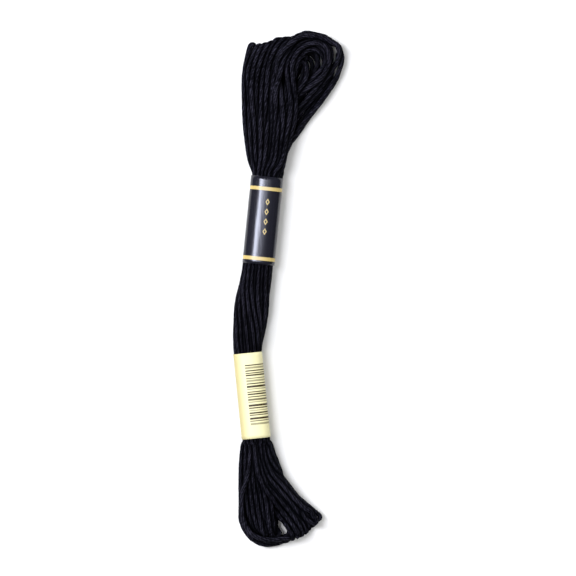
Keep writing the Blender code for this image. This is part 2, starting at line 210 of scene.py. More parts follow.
LOWER_LOOPS = (
    # strands of the right edge, which dive under those of the tip
    (2,
     ((-6.5, -50.5, 4), (-5.2, -54, 4), (-3.5, -57.6, 3.7), (-2, -60.3, 3.1), (-0.2, -62.9, 2.5),
      (2.6, -66.8, 2), (5.4, -70, 1.6), (7.6, -72.2, 1.3), (8, -73.4, 1), (6.2, -72.4, 0.8),
      (3, -69.2, 0.8), (-0.6, -64.6, 0.8), (-3.4, -59.4, 0.9), (-5.8, -51, 1.4)),
     ((-7.3, -50.5, 4.3), (-6.2, -54, 4.3), (-4.6, -57.4, 4), (-2.8, -60.2, 3.4),
      (-1, -62.8, 2.8), (1.6, -66.6, 2.2), (4.4, -70, 1.8), (6.4, -72.6, 1.4), (7, -74.2, 1),
      (5.4, -73.4, 0.8), (2.2, -69.8, 0.8), (-1.2, -65, 0.8), (-3.9, -59.8, 0.9),
      (-6.4, -51, 1.4))),
    # strands that reach the tip
    (3,
     ((-8, -51, 4.2), (-7.2, -55.5, 4.3), (-4.6, -59.6, 4.3), (-1.6, -62.3, 4.1),
      (0.4, -64.8, 3.8), (3.2, -68.1, 3.4), (5.9, -70.7, 2.9), (8.3, -72.6, 2.4), (9.9, -74, 1.8),
      (9.3, -75.2, 1.2), (6.9, -74.1, 0.8), (3.4, -70.4, 0.8), (-0.4, -65.2, 0.8),
      (-3.6, -59.7, 1), (-6.2, -51, 1.6)),
     ((-8.8, -51, 4.6), (-8, -56, 4.5), (-5.6, -60.3, 4.4), (-2.6, -63.4, 4.2), (0, -66.3, 3.9),
      (2.8, -69.5, 3.5), (5.3, -72.1, 3), (7.3, -74.4, 2.5), (8.6, -76.6, 1.8), (7.9, -77.3, 1.2),
      (5.6, -75.2, 0.8), (2.6, -71.2, 0.8), (-1, -66, 0.8), (-4.1, -60.2, 1), (-6.8, -51, 1.6))),
    # the other strands that sweep to the right, down to the hole
    (5,
     ((-9.2, -51, 4.6), (-8.2, -57, 4.6), (-6.3, -61.5, 4.5), (-3.6, -64.4, 4.3),
      (-0.6, -67.3, 4), (2.2, -70.2, 3.7), (4.6, -72.8, 3.2), (6.4, -75.4, 2.7), (7.4, -77.7, 2),
      (6.6, -78.4, 1.3), (4.8, -76.2, 0.8), (1.6, -71, 0.8), (-1.9, -65.6, 0.8), (-5, -60, 1),
      (-7.6, -51, 1.6)),
     ((-10.3, -51, 4.9), (-9.2, -57, 4.8), (-7.6, -62.4, 4.7), (-5.4, -66, 4.5),
      (-2.6, -68.8, 4.2), (0, -71.6, 3.9), (2.3, -74.6, 3.4), (4, -77.6, 2.8), (4.9, -80.1, 2),
      (4.3, -80.7, 1.3), (2.9, -78.4, 0.8), (0.2, -73.2, 0.8), (-3, -67.4, 0.8), (-6.2, -61, 1),
      (-8.4, -51, 1.6)),
     ((-11, -51, 4.6), (-10, -57, 4.4), (-8.4, -63, 4.2), (-6.6, -67.2, 3.6), (-4.9, -70.8, 3),
      (-3, -73.6, 2.7), (-1.2, -75.8, 2.6), (0.3, -78.1, 2.4), (1.2, -80.4, 1.9), (1, -81.3, 1.3),
      (0.5, -79, 0.9), (-0.8, -75.4, 0.8), (-4, -68.8, 0.8), (-7.2, -62, 1), (-9.4, -51, 1.6))),
    # the strand in front, which goes round the left side and under the hole
    (1,
     ((-11.4, -51, 4.9), (-11.9, -55, 4.9), (-12.5, -58.8, 4.8), (-13.6, -62.6, 4.7),
      (-14.4, -65.8, 4.5), (-14.5, -70, 4.4), (-14, -74, 4.3), (-12.8, -77.2, 4.2),
      (-11, -79.4, 4.2), (-8.6, -80.7, 4.2), (-6, -81.2, 4), (-3.4, -80.9, 3.6), (-1, -80.5, 2.9),
      (0.9, -79.8, 2), (0.8, -77.6, 1.5), (-0.6, -74, 1.4), (-4.2, -67.4, 1.3), (-7.4, -60, 1.4),
      (-9.8, -51, 1.7))),
    # the outer strands of the left side, which go under the hole as well
    (2,
     ((-14.6, -51, 3.8), (-15.1, -56, 3.7), (-15.1, -61, 3.5), (-15.2, -66, 3.3), (-15.1, -71, 3),
      (-14.6, -75.6, 2.6), (-13.1, -79.4, 2.2), (-10.7, -82, 1.9), (-7.5, -83.2, 1.7),
      (-4.6, -82.9, 1.5), (-2.4, -82.1, 1.3), (-0.4, -81, 1.1), (0.7, -79.2, 0.9),
      (-0.2, -76, 0.8), (-3.4, -69.6, 0.8), (-7.2, -62, 0.9), (-10, -51, 1.4)),
     ((-13.6, -51, 3.2), (-14.1, -56, 3), (-14.3, -61, 2.8), (-14.3, -66, 2.6), (-14.1, -71, 2.4),
      (-13.2, -75.4, 2.1), (-11.6, -78.8, 1.8), (-9.4, -81, 1.5), (-6.8, -82.2, 1.2),
      (-4.2, -82.3, 0.9), (-2, -81.6, 0.8), (0, -80.6, 0.8), (1.2, -79, 0.8), (0.6, -76, 0.8),
      (-2.8, -69.4, 0.8), (-6.8, -62, 0.9), (-9.6, -51, 1.4))),
    # strands of the left side that turn back before the hole
    (2,
     ((-13.2, -51, 3.4), (-13.9, -57, 3.3), (-14, -62, 3.1), (-14, -67, 2.9), (-13.5, -71.5, 2.6),
      (-12.4, -75.4, 2.3), (-10.8, -78.6, 2), (-8.6, -81, 1.8), (-5.8, -81.9, 1.4),
      (-4, -80.8, 1), (-4.4, -77.6, 0.8), (-6.2, -72, 0.8), (-8.2, -65, 0.8), (-9.8, -58, 0.9),
      (-11, -51, 1.4)),
     ((-12.6, -51, 3.2), (-13, -57, 3), (-13, -62, 2.8), (-12.9, -67, 2.6), (-12.2, -71.5, 2.4),
      (-11, -75.4, 2.1), (-9.4, -78.4, 1.8), (-7.8, -79.8, 1.5), (-6.8, -79.9, 1.2),
      (-6.4, -78.6, 0.9), (-6.8, -75, 0.8), (-7.8, -70, 0.8), (-9.2, -64, 0.8), (-10.6, -57, 0.9),
      (-11.6, -51, 1.4))),
    # strands that hang straight inside the front one
    (7,
     ((-12.9, -51, 4.1), (-13, -57, 3.9), (-13, -63, 3.7), (-12.9, -68, 3.5), (-12.2, -72.6, 3.2),
      (-11, -76.4, 2.8), (-9.8, -78.7, 2.2), (-8.8, -79.2, 1.5), (-9, -76.6, 1),
      (-10.2, -71.6, 0.8), (-11.4, -65, 0.8), (-12, -58, 1), (-12.2, -51, 1.5)),
     ((-11, -51, 4.4), (-10.9, -57, 4.3), (-10.6, -63, 4.1), (-9.8, -68, 3.9), (-9, -72.6, 3.6),
      (-8, -76.4, 3.1), (-7.2, -79, 2.4), (-6.4, -79.7, 1.6), (-6.8, -77, 1), (-7.9, -71.6, 0.8),
      (-9, -65, 0.8), (-10, -58, 1), (-10.6, -51, 1.5)),
     ((-9.6, -51, 4.3), (-8.8, -57, 4.3), (-7.2, -63, 4.2), (-5.4, -68, 4.1), (-4.5, -72.6, 3.9),
      (-4.2, -76, 3.3), (-3.4, -78.9, 2.5), (-1.9, -80.5, 1.6), (-0.2, -80.4, 1), (0, -77.2, 0.8),
      (-2.6, -71, 0.8), (-6.4, -62, 1), (-9.4, -51, 1.5))),
    # loops underneath
    (2,
     ((-7, -53, 2.6), (-4.6, -58.6, 2.4), (-1.2, -64, 2.2), (2.6, -69, 1.9), (5.2, -72, 1.5),
      (6, -73.8, 1), (4.4, -72.8, 0.8), (1.4, -69.4, 0.8), (-1.9, -64.6, 0.8), (-4.8, -59.2, 0.9),
      (-7, -53, 1.3)),
     ((-8.9, -53, 2.8), (-7.2, -59, 2.6), (-5.6, -64.6, 2.4), (-4.2, -69.4, 2), (-3.3, -73, 1.6),
      (-2.7, -74.9, 1.2), (-2.2, -74.6, 0.9), (-2.6, -71, 0.8), (-4.4, -65.8, 0.8),
      (-6.9, -60, 0.9), (-8.9, -53, 1.3))),
)

# Places that no strand crosses: x, y of one end, x, y of the other, half their width
KEEP_OUT = (
    # openings
    (-2.5, -76.6, -1.1, -78.9, 0.80),
    (6.7, -72.6, 6.9, -73.0, 0.18),
    (14.9, 77.9, 15.3, 76.7, 0.52),
    (15.9, 71.2, 15.6, 70.0, 0.44),
    (5.9, 76.8, 6.7, 75.5, 0.24),
    # outside the right edge of the lower fan
    (-4.6, -48.9, -3.1, -53.6, 0.75),
    (-3.2, -53.5, -0.2, -59.6, 0.75),
    (-0.5, -60.3, 4.4, -66.7, 1.0),
    (4.3, -66.5, 9.5, -70.9, 1.0),
    (9.6, -71.0, 11.3, -72.7, 0.7),
    # outside its rim
    (11.2, -76.2, 9.3, -78.2, 1.0),
    (9.3, -78.2, 6.8, -80.4, 0.8),
    (6.8, -80.4, 3.6, -82.1, 0.8),
    (3.6, -82.1, 0.8, -82.9, 0.7),
    (-7.4, -84.7, -3.2, -84.2, 0.5),
    (-3.2, -84.2, -1.0, -83.3, 0.5),
    # outside the rim of the upper fan
    (-13.0, 80.9, -9.7, 80.1, 0.6),
    (-9.7, 80.1, -6.3, 80.6, 0.6),
    (-6.3, 80.6, -4.3, 81.9, 0.6),
    (-4.3, 81.9, 1.5, 82.4, 0.6),
    (1.5, 82.5, 5.4, 84.2, 0.6),
    (5.8, 84.2, 12.4, 82.8, 0.6),
    (12.6, 82.7, 17.6, 79.3, 0.6),
    (17.8, 79.0, 19.2, 74.6, 0.6),
    # outside its right edge
    (19.2, 74.0, 16.8, 66.8, 0.6),
    (16.8, 66.7, 10.1, 57.1, 0.6),
    (10.1, 57.1, 2.1, 46.5, 0.6),
    (2.0, 46.5, 0.6, 43.4, 0.6),
    (0.6, 43.4, -0.8, 36.6, 0.6),
)


def number_prop(name, description, default, **unit):
    return bpy.props.FloatProperty(name=name, description=description, default=default, **unit)


def length_prop(name, description, default):
    return number_prop(name, description, default, unit="LENGTH", precision=5)


def colour_prop(name, description, default):
    return bpy.props.FloatVectorProperty(name=name, description=description, default=default,
                                         subtype="COLOR", size=3)


class FlossSizes(bpy.types.PropertyGroup):
    """Sizes and colours of the floss"""

    fan_thickness: length_prop("Thickness in the fans", "Where the floss is loose", 1.56 * MM)
    band_thickness: length_prop("Thickness in the bands", "Where the paper squeezes it",
                                1.10 * MM)
    ply_turn: length_prop("Ply turn", "Length in which the six plies go round once", 21.0 * MM)
    ply_depth: number_prop("Ply depth", "Depth of the grooves between the plies, as a share",
                           0.16, subtype="FACTOR")
    body_twist: number_prop("Twist of the body", "How far the hank turns between its bands",
                            math.radians(62), subtype="ANGLE")
    settling: bpy.props.IntProperty(
        name="Settling steps", description="Steps in which the strands find their places",
        default=320)
    colour: colour_prop("Floss", "Colour of the dyed cotton", (0.0008, 0.0008, 0.0017))
    # lighter colour of raised and worn fibres, which also paints the highlight on the plies'
    # crests and fibres
    lit: colour_prop("Worn fibres", "Colour of the raised fibres", (0.0290, 0.0281, 0.0437))


class BandSizes(bpy.types.PropertyGroup):
    """Sizes and colours of the paper bands"""

    paper: length_prop("Paper", "Thickness of the paper", 0.12 * MM)
    overlap: length_prop("Overlap", "Width of the glued overlap underneath", 4.0 * MM)
    line: length_prop("Gold line", "Width of each gold line", 1.15 * MM)
    black: colour_prop("Black", "Black print", (0.012, 0.012, 0.018))
    gold: colour_prop("Gold", "Gold print", (0.50, 0.38, 0.13))
    cream: colour_prop("Cream", "Cream print", (0.76, 0.72, 0.42))
    # painted shade: darker, yellower cream near the left edge
    shaded_cream: colour_prop("Aged cream", "Cream print near the left edge", (0.46, 0.40, 0.19))
    bars: colour_prop("Bars", "Print of the bars", (0.045, 0.027, 0.007))


class StudioLooks(bpy.types.PropertyGroup):
    """Floor, lights and camera"""

    floor: colour_prop("Floor", "Colour of the floor", (0.88, 0.88, 0.87))
    key: number_prop("Key light", "Power of the light from the upper left", 15.6, unit="POWER")
    overhead: number_prop("Overhead light", "Power of the long light that the paper mirrors",
                          16.0, unit="POWER")
    sky: number_prop("Sky", "Brightness of the light from all round", 0.72)
    lens: number_prop("Lens", "Focal length in millimetres", 180.0)
    picture: length_prop("Picture width", "Width of the picture at the floor", 187.2 * MM)


def maths(operation, swapped=False):
    """An operator of Wire that adds a Math node."""

    def apply(self, *other):
        values = (*other, self) if swapped else (self, *other)
        return self.net.add("ShaderNodeMath", {"operation": operation}, dict(enumerate(values)))

    return apply


class Wire:
    """A shader value, so that maths on values adds Math nodes."""

    def __init__(self, net, socket):
        self.net, self.socket = net, socket

    __add__, __radd__ = maths("ADD"), maths("ADD", swapped=True)
    __sub__, __rsub__ = maths("SUBTRACT"), maths("SUBTRACT", swapped=True)
    __mul__, __rmul__ = maths("MULTIPLY"), maths("MULTIPLY", swapped=True)
    __mod__ = maths("FLOORED_MODULO")
    __abs__ = maths("ABSOLUTE")


class Net:
    """A material's node tree."""

    def __init__(self, name, **constants):
        self.material = bpy.data.materials.new(name)
        self.material.use_nodes = True
        self.tree = self.material.node_tree
        self.shader = self.tree.nodes["Principled BSDF"]
        self.finish(**constants)

    def set(self, node, socket, value):
        """Links a value to a socket, or writes a number or colour there."""
        if isinstance(value, Wire):
            self.tree.links.new(value.socket, node.inputs[socket])
        else:
            node.inputs[socket].default_value = value

    def add(self, kind, settings=None, sockets=None, out=0):
        """Adds a node and returns one of its outputs."""
        node = self.tree.nodes.new(kind)
        for key, value in (settings or {}).items():
            setattr(node, key, value)
        for socket, value in (sockets or {}).items():
            self.set(node, socket, value)
        return Wire(self, node.outputs[out])

    def axes(self, vector):
        """The three parts of a vector."""
        parts = self.add("ShaderNodeSeparateXYZ", sockets={"Vector": vector}).socket.node
        return [Wire(self, part) for part in parts.outputs]

    def vector(self, x, y, z):
        return self.add("ShaderNodeCombineXYZ", sockets={"X": x, "Y": y, "Z": z})

    def object_place(self):
        return self.add("ShaderNodeTexCoord", out="Object")

    def map_place(self, name):
        """The parts of the piece's own map."""
        return self.axes(self.add("ShaderNodeUVMap", {"uv_map": name}))

    def mix(self, factor, first, second):
        """First colour where factor is 0, second where it is 1."""
        first, second = (c if isinstance(c, Wire) else (*c, 1.0) for c in (first, second))
        return self.add("ShaderNodeMix", {"data_type": "RGBA"},
                        {0: factor, 6: first, 7: second}, out=2)

    def ease(self, value, low, high):
        """0 where value is at low, 1 where it is at high, smooth between."""
        return self.add("ShaderNodeMapRange", {"interpolation_type": "SMOOTHSTEP"},
                        {"Value": value, "From Min": low, "From Max": high})

    def noise(self, vector, scale, detail=2.0, roughness=0.55):
        return self.add("ShaderNodeTexNoise", sockets={
            "Vector": vector, "Scale": scale, "Detail": detail, "Roughness": roughness})

    def bump(self, height, distance, strength, **under):
        return self.add("ShaderNodeBump", sockets={
            "Height": height, "Distance": distance, "Strength": strength, **under})

    def finish(self, **surface):
        """Sets the shader's sockets by name and returns the material."""
        for socket, value in surface.items():
            self.set(self.shader, socket.replace("_", " "), value)
        return self.material


def smooth_step(t):
    t = np.clip(t, 0.0, 1.0)
    return t * t * (3.0 - 2.0 * t)


def looseness(y):
    return np.interp(y, LOOSE_Y, LOOSE_SHARE)


def thickness(y, sizes):
    """Thickness of the floss at y."""
    thin, thick = sizes.band_thickness / MM, sizes.fan_thickness / MM
    return thin + (thick - thin) * looseness(y)


def way_along(points):
    """Length of the line of points, up to each of them."""
    return np.concatenate([[0], np.cumsum(np.linalg.norm(np.diff(points, axis=0), axis=1))])


def add_object(name, data):
    """An object in the scene."""
    made = bpy.data.objects.new(name, data)
    bpy.context.scene.collection.objects.link(made)
    return made


# ---- Drawing the thread ----

CURVE_STEP = 0.3  # fineness of a curve before it is read at its own spacing
DRAWN_SPACING = 0.9  # points of the drawn thread
SEAT_WEIGHTS = (1.6, 1.0)  # how much it costs to seat a leg out of place, across and up
BODY_EDGE = 0.6  # from the side of the body to the outermost strand's middle
BODY_LIFT = 0.15  # height of the body's middle above half of what the strands fill
BODY_TOP = 0.55  # from the top of the body to the highest strand's middle
BODY_SQUARE = 2.5  # power of the rounded square that the body's section is
BODY_FILL = 0.95  # share of that section that the strands keep to
PASS_POINTS = 15  # places along a pass from band to band
TWIST_START = -23.4  # where the body starts to turn
TWIST_LENGTH = 30.0
LOWER_LEAD = 1.4  # how far past the band a loop of the lower fan starts
UPPER_LEAD = 1.3
WAVE_LENGTH = 9  # points from bend to bend of the uneven thread
WAVE_REACH = (0.42, 0.3, 0.25)  # how far it bends across, along and up
WAVE_WINDOW = 13  # points over which the bends are rounded
CHANCE_SEED = 4
MIXING = 0.05  # how far chance mixes the passes through the body
THREAD_ENDS = 4  # place of the first pass at which the thread starts and ends


def even_curve(points, spacing):
    """A smooth curve through the points, read at even spacing."""
    points = np.asarray(points, float)
    padded = np.vstack([2 * points[0] - points[1], points, 2 * points[-1] - points[-2]])
    pieces = []
    for p0, p1, p2, p3 in zip(padded, padded[1:], padded[2:], padded[3:]):
        count = max(2, int(np.linalg.norm(p2 - p1) / CURVE_STEP))
        t = np.linspace(0, 1, count, endpoint=False)[:, None]
        pieces.append(0.5 * (2 * p1 + (p2 - p0) * t + (2 * p0 - 5 * p1 + 4 * p2 - p3) * t ** 2
                             + (3 * p1 - p0 - 3 * p2 + p3) * t ** 3))
    pieces.append(points[-1:])
    dense = np.vstack(pieces)
    along = way_along(dense)
    places = np.linspace(0, along[-1], int(round(along[-1] / spacing)) + 1)
    return np.stack([np.interp(places, along, dense[:, k]) for k in range(3)], 1)


def draw_loops(families, chance):
    """The loops of a fan, each as a line of points."""
    loops = []
    for count, *drawings in families:
        drawings = np.array(drawings, float)
        for k in range(count):
            at = k / max(count - 1, 1) * (len(drawings) - 1)
            first = min(int(at), max(len(drawings) - 2, 0))
            line = drawings[first].copy()
            if at > first:
                line += (drawings[first + 1] - line) * (at - first)
            line[:, :2] += chance.normal(size=2) * UNEVEN
            under = smooth_step((UNDERNEATH - line[:, 2]) / UNDERNEATH_EASE)
            line[:, 2] += LAYER_RISE * (k % 2) * under
            loops.append(line)
    return loops


def band_places():
    """Places of the 48 passes inside a band, across and up, each from -1 to 1."""
    places = []
    for row, count in enumerate(LAYERS):
        up = TOP_LAYER - 2 * TOP_LAYER * row / (len(LAYERS) - 1)
        half = (1 - abs(up) ** BAND_SQUARE) ** (1 / BAND_SQUARE) * LAYER_FILL
        places += [(half * (2 * (k + 0.5) / count - 1), up) for k in range(count)]
    return places


def match(cost):
    """A partner for each row, chosen by turns and then by swaps until none helps."""
    count = len(cost)
    free, partner = set(range(count)), [0] * count
    for a in np.argsort(cost.min(1)):
        partner[a] = min(sorted(free), key=lambda b: cost[a, b])
        free.discard(partner[a])
    better = True
    while better:
        better = False
        for a in range(count):
            for b in range(a + 1, count):
                if (cost[a, partner[b]] + cost[b, partner[a]]
                        < cost[a, partner[a]] + cost[b, partner[b]] - TINY):
                    partner[a], partner[b] = partner[b], partner[a]
                    better = True
    return partner


def seat_legs(loops):
    """The place in the band for each leg of a fan's loops, two for each loop."""
    legs = np.array([line[end] for line in loops for end in (0, -1)])
    rank = np.argsort(np.argsort(legs, axis=0, kind="stable"), axis=0, kind="stable")
    at = (rank[:, [0, 2]] + 0.5) / len(legs) * 2 - 1
    seats = np.array(band_places())
    cost = ((at[:, None] - seats[None]) ** 2 * np.array(SEAT_WEIGHTS)).sum(-1)
    return seats[match(cost)]


def body_point(across, up, y):
    """The point of the body at y with that place in its cross section."""
    x, width, height = (np.interp(y, BODY_Y, column)
                        for column in (BODY_X, BODY_WIDTH, BODY_HEIGHT))
    return np.array([x + (width / 2 - BODY_EDGE) * across, y,
                     height / 2 + BODY_LIFT + (height / 2 - BODY_TOP) * up])


def turned(angle):
    return np.array([[math.cos(angle), -math.sin(angle)], [math.sin(angle), math.cos(angle)]])


def draw_pass(low_seat, high_seat, twist):
    """From the lower band to the upper one, through the twisted body."""
    points = []
    for y in np.linspace(LOWER_BAND.low_y, UPPER_BAND.top_y, PASS_POINTS):
        share = float(smooth_step((y - TWIST_START) / TWIST_LENGTH))
        place = low_seat * (1 - share) + (high_seat @ turned(twist)) * share
        place = turned(twist * share) @ place
        reach = (abs(place) ** BODY_SQUARE).sum() ** (1 / BODY_SQUARE)
        points.append(body_point(*(place * min(1.0, BODY_FILL / reach)), y))
    return points


def draw_loop(loops, seats, leg, edge):
    """A loop from one leg to the other, with its places in the band at both ends."""
    line = loops[leg // 2]
    if leg % 2:
        line = line[::-1]
    return [body_point(*seats[leg], edge), *line, body_point(*seats[leg ^ 1], edge)]


def rings_of(below):
    """The closed rings that the passes and loops make. Legs 2k and 2k + 1 share a loop."""
    above = {low: high for high, low in enumerate(below)}
    seen, rings = set(), []
    for start in range(len(below)):
        ring, at = [], start
        while at not in seen:
            other = above[below[at] ^ 1]
            seen |= {at, other}
            ring += [at, other]
            at = other ^ 1
        if ring:
            rings.append(ring)
    return rings


def join_rings(below, cost):
    """Swaps passes at the least cost until they and the loops make one closed ring."""
    rings = rings_of(below)
    while len(rings) > 1:
        swaps = [(cost[a, below[b]] + cost[b, below[a]] - cost[a, below[a]] - cost[b, below[b]],
                  a, b) for a in rings[0] for ring in rings[1:] for b in ring]
        _, a, b = min(swaps)
        below[a], below[b] = below[b], below[a]
        rings = rings_of(below)


def waves(count, chance):
    """Slow random bends, in millimetres, for each point of a line."""
    knots = chance.normal(size=(count // WAVE_LENGTH + 3, 3)) * WAVE_REACH
    places = np.arange(count) / WAVE_LENGTH
    window = np.hanning(WAVE_WINDOW)
    window /= window.sum()
    return np.stack([np.convolve(np.interp(places, np.arange(len(knots)), knots[:, k]),
                                 window, "same") for k in range(3)], 1)


def draw_thread(sizes):
    """The whole thread, one long line of points, before it is settled."""
    chance = np.random.default_rng(CHANCE_SEED)
    upper, lower = draw_loops(UPPER_LOOPS, chance), draw_loops(LOWER_LOOPS, chance)
    high, low = seat_legs(upper), seat_legs(lower)
    cost = ((high[:, None] - (low @ turned(sizes.body_twist).T)[None]) ** 2).sum(-1)
    cost += chance.random(cost.shape) * MIXING
    below = match(cost)
    join_rings(below, cost)
    above = {b: a for a, b in enumerate(below)}
    points, at = [], 0
    for _ in upper:  # one turn of the floss each
        leg = below[at]
        points += draw_pass(low[leg], high[at], sizes.body_twist)[::-1]
        points += draw_loop(lower, low, leg, LOWER_BAND.low_y - LOWER_LEAD)
        other = above[leg ^ 1]
        points += draw_pass(low[leg ^ 1], high[other], sizes.body_twist)
        points += draw_loop(upper, high, other, UPPER_BAND.top_y + UPPER_LEAD)
        at = other ^ 1
    # its two ends meet inside the upper band
    line = even_curve(points[THREAD_ENDS:] + points[:THREAD_ENDS + 1], DRAWN_SPACING)
    return line + waves(len(line), chance) * looseness(line[:, 1])[:, None]


# ---- Settling the thread ----

NEIGHBOURS = 3  # points this near along the thread don't push each other
SEARCH_REACH = 1.95  # strands that may meet in the next few steps are nearer than this
SEARCH_STEPS = 6  # steps from one search for them to the next
PUSH = 1.2  # a little more than what strands share, so that they part sooner
PULL = 0.35  # how strongly the thread keeps its length
SINK = 0.006  # how far the strands come down in a step
SMOOTH_REACHES = (1, 2, 4)  # points on either side with which a move is smoothed
SMOOTHING, SMOOTHING_DROP = 0.5, 0.3  # how much it is, and how much less at the end
HOLD, HOLD_DROP = 0.03, 0.018  # how strongly the drawing holds its strands, and how much less
HOLD_AXES = np.array((1.0, 1.0, 0.3))
BAND_MARGIN = 0.8  # how far past its ends a band still holds the strands together
PAPER_LAYERS = 2.4  # thicknesses of paper kept free between a band's face and the floss


def close_pairs(points, reach):
    """Pairs of points that are nearer than reach and not neighbours on the thread."""
    cell = np.floor(points / reach).astype(np.int64)
    cell -= cell.min(0) - 1
    size = cell.max(0) + 2
    key = (cell[:, 0] * size[1] + cell[:, 1]) * size[2] + cell[:, 2]
    order = np.argsort(key, kind="stable")
    sorted_key = key[order]
    first, second = [], []
    for dx, dy, dz in product((-1, 0, 1), repeat=3):
        shift = (dx * size[1] + dy) * size[2] + dz
        if shift < 0:
            continue
        low = np.searchsorted(sorted_key, key + shift, "left")
        count = np.searchsorted(sorted_key, key + shift, "right") - low
        i = np.repeat(np.arange(len(points)), count)
        within = np.arange(count.sum()) - np.repeat(np.cumsum(count) - count, count)
        j = order[np.repeat(low, count) + within]
        keep = j > i if shift == 0 else slice(None)
        first.append(i[keep])
        second.append(j[keep])
    i, j = np.concatenate(first), np.concatenate(second)
    near = ((points[i] - points[j]) ** 2).sum(1) < reach * reach
    near &= np.abs(i - j) > NEIGHBOURS
    return i[near], j[near]


def push_apart(points, thick, pairs):
    """Moves two strands that share a place apart, each by half of what they share."""
    i, j = pairs
    gap = points[j] - points[i]
    apart = np.sqrt((gap ** 2).sum(1)) + TINY
    over = (thick[i] + thick[j]) / 2 - apart
    hit = over > 0
    a, b = i[hit], j[hit]
    push = gap[hit] * (over[hit] / apart[hit] * 0.5)[:, None]
    count = len(points)
    hits = np.bincount(a, minlength=count) + np.bincount(b, minlength=count)
    for k in range(3):
        moved = np.bincount(b, push[:, k], count) - np.bincount(a, push[:, k], count)
        points[:, k] += moved / np.maximum(hits, 1) * PUSH


def keep_length(points, length):
    """Moves neighbours on the thread back towards their first distance."""
    for start in (0, 1):
        a = np.arange(start, len(points) - 1, 2)
        link = points[a + 1] - points[a]
        now = np.sqrt((link ** 2).sum(1)) + TINY
        pull = link * ((now - length[a]) / now * PULL)[:, None]
        points[a] += pull
        points[a + 1] -= pull


def smoothed(moved, amount):
    """The moves, smoothed along the thread."""
    even = moved.copy()
    for reach in SMOOTH_REACHES:
        even[reach:-reach] = (even[:-2 * reach] + 2 * even[reach:-reach] + even[2 * reach:]) / 4
    return moved + (even - moved) * amount


def keep_inside(points, band, thick, paper):
    """Moves the points that are in a band's stretch inside its paper."""
    length = math.hypot(band.top_x - band.low_x, band.top_y - band.low_y)
    along = np.array([band.top_x - band.low_x, band.top_y - band.low_y]) / length
    across = np.array([along[1], -along[0]])
    plan = points[:, :2] - np.array([band.top_x + band.low_x, band.top_y + band.low_y]) / 2
    side = plan @ across
    middle = BAND_HEIGHT / 2
    rise = points[:, 2] - middle
    reach = (np.abs(side / (band.width / 2 - paper - thick / 2)) ** BAND_SQUARE
             + np.abs(rise / (middle - paper - thick / 2)) ** BAND_SQUARE) ** (1 / BAND_SQUARE)
    out = (np.abs(plan @ along) < length / 2 + BAND_MARGIN) & (reach > 1)
    share = np.where(out, 1 / np.maximum(reach, 1), 1.0)
    points[:, :2] += across * (side * (share - 1))[:, None]
    points[:, 2] = middle + rise * share


def keep_off(points, place, thick):
    """Moves the points that are in a place to be kept clear to its edge."""
    start, end, half = np.array(place[:2]), np.array(place[2:4]), place[4]
    span = end - start
    share = np.clip((points[:, :2] - start) @ span / (span @ span), 0, 1)
    off = points[:, :2] - start - share[:, None] * span
    far = np.sqrt((off ** 2).sum(1)) + TINY
    room = half + thick / 2
    near = far < room
    points[near, :2] += off[near] * (room[near] / far[near] - 1)[:, None]


def settle(drawn, sizes, paper, steps):
    """Pushes the strands clear of each other and lets them down on the surface."""
    points = drawn.copy()
    length = np.linalg.norm(np.diff(points, axis=0), axis=1)
    for step in range(steps):
        share = step / steps
        thick = thickness(points[:, 1], sizes)
        if step % SEARCH_STEPS == 0:
            pairs = close_pairs(points, SEARCH_REACH)
        push_apart(points, thick, pairs)
        keep_length(points, length)
        points[:, 2] -= SINK
        moved = smoothed(points - drawn, SMOOTHING - SMOOTHING_DROP * share)
        points = drawn + moved * (1 - (HOLD - HOLD_DROP * share) * HOLD_AXES)
        for place in KEEP_OUT:
            keep_off(points, place, thick)
        for band in (UPPER_BAND, LOWER_BAND):
            keep_inside(points, band, thick, paper)
        points[:, 2] = np.maximum(points[:, 2], thick / 2)
    return points


# ---- Making the floss ----

POINT_SPACING = 0.48  # points of the finished thread
TOUCH_REACH = 2.2  # strands that may touch are nearer than this
CELL = 1.2  # side of the squares in which the strands' heights are compared
# painted shade on strands that lie low between higher ones
PIT_REACH = 4  # and how many squares away
PIT_START = 0.55  # a strand this much lower than those on both its sides starts to get painted shade
PIT_DEPTH = 1.4  # and is darkest when it lies lower by this much more
PIT_SHADE = 0.85  # how dark it then is
# painted shade in the grooves where strands touch
GROOVE_SHADE_START = 0.12  # a surface this near to another strand gets the darkest painted shade
GROOVE_SHADE_REACH = 0.84  # which fades out up to this much further off

# Surface of the floss, with painted highlights on the plies' crests and fibres
YARN_TURNS, YARN_SLANT = 2.6, 2.2  # how fast a ply's own yarn changes along it and across it
YARN_ROUND, YARN_SPREAD = 0.8, 0.5  # and how much it differs from ply to ply and within one
HAIRS = 40.0  # hairs round the thread
HAIR_BREAKS, HAIR_DRIFT = 1.2, 0.2  # and how fast they change along it
PATCHES = 160.0  # worn patches for each metre
TURN_PART, HAIR_PART, CREST_HIGHLIGHT_PART, PATCH_PART = 0.6, 0.35, 0.22, 0.23  # how much each adds to the lighter mark; the crest part is a painted highlight along each ply's crest
WEAR_AND_HIGHLIGHT = (0.66, 0.97)  # values of that mark at which the lighter colour, partly worn fibres and partly painted highlight, starts and is full
FLOSS_ROUGHNESS, WEAR_AND_HIGHLIGHT_SMOOTHER = 0.62, 0.16
FIBRE_DEPTH, FIBRE_STRENGTH = 0.09 * MM, 0.9


def place_piece(piece, slot, *nodes):
    """A finished piece rides on the hank and stands for its solids."""
    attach(piece, ROOT)
    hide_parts(*nodes)


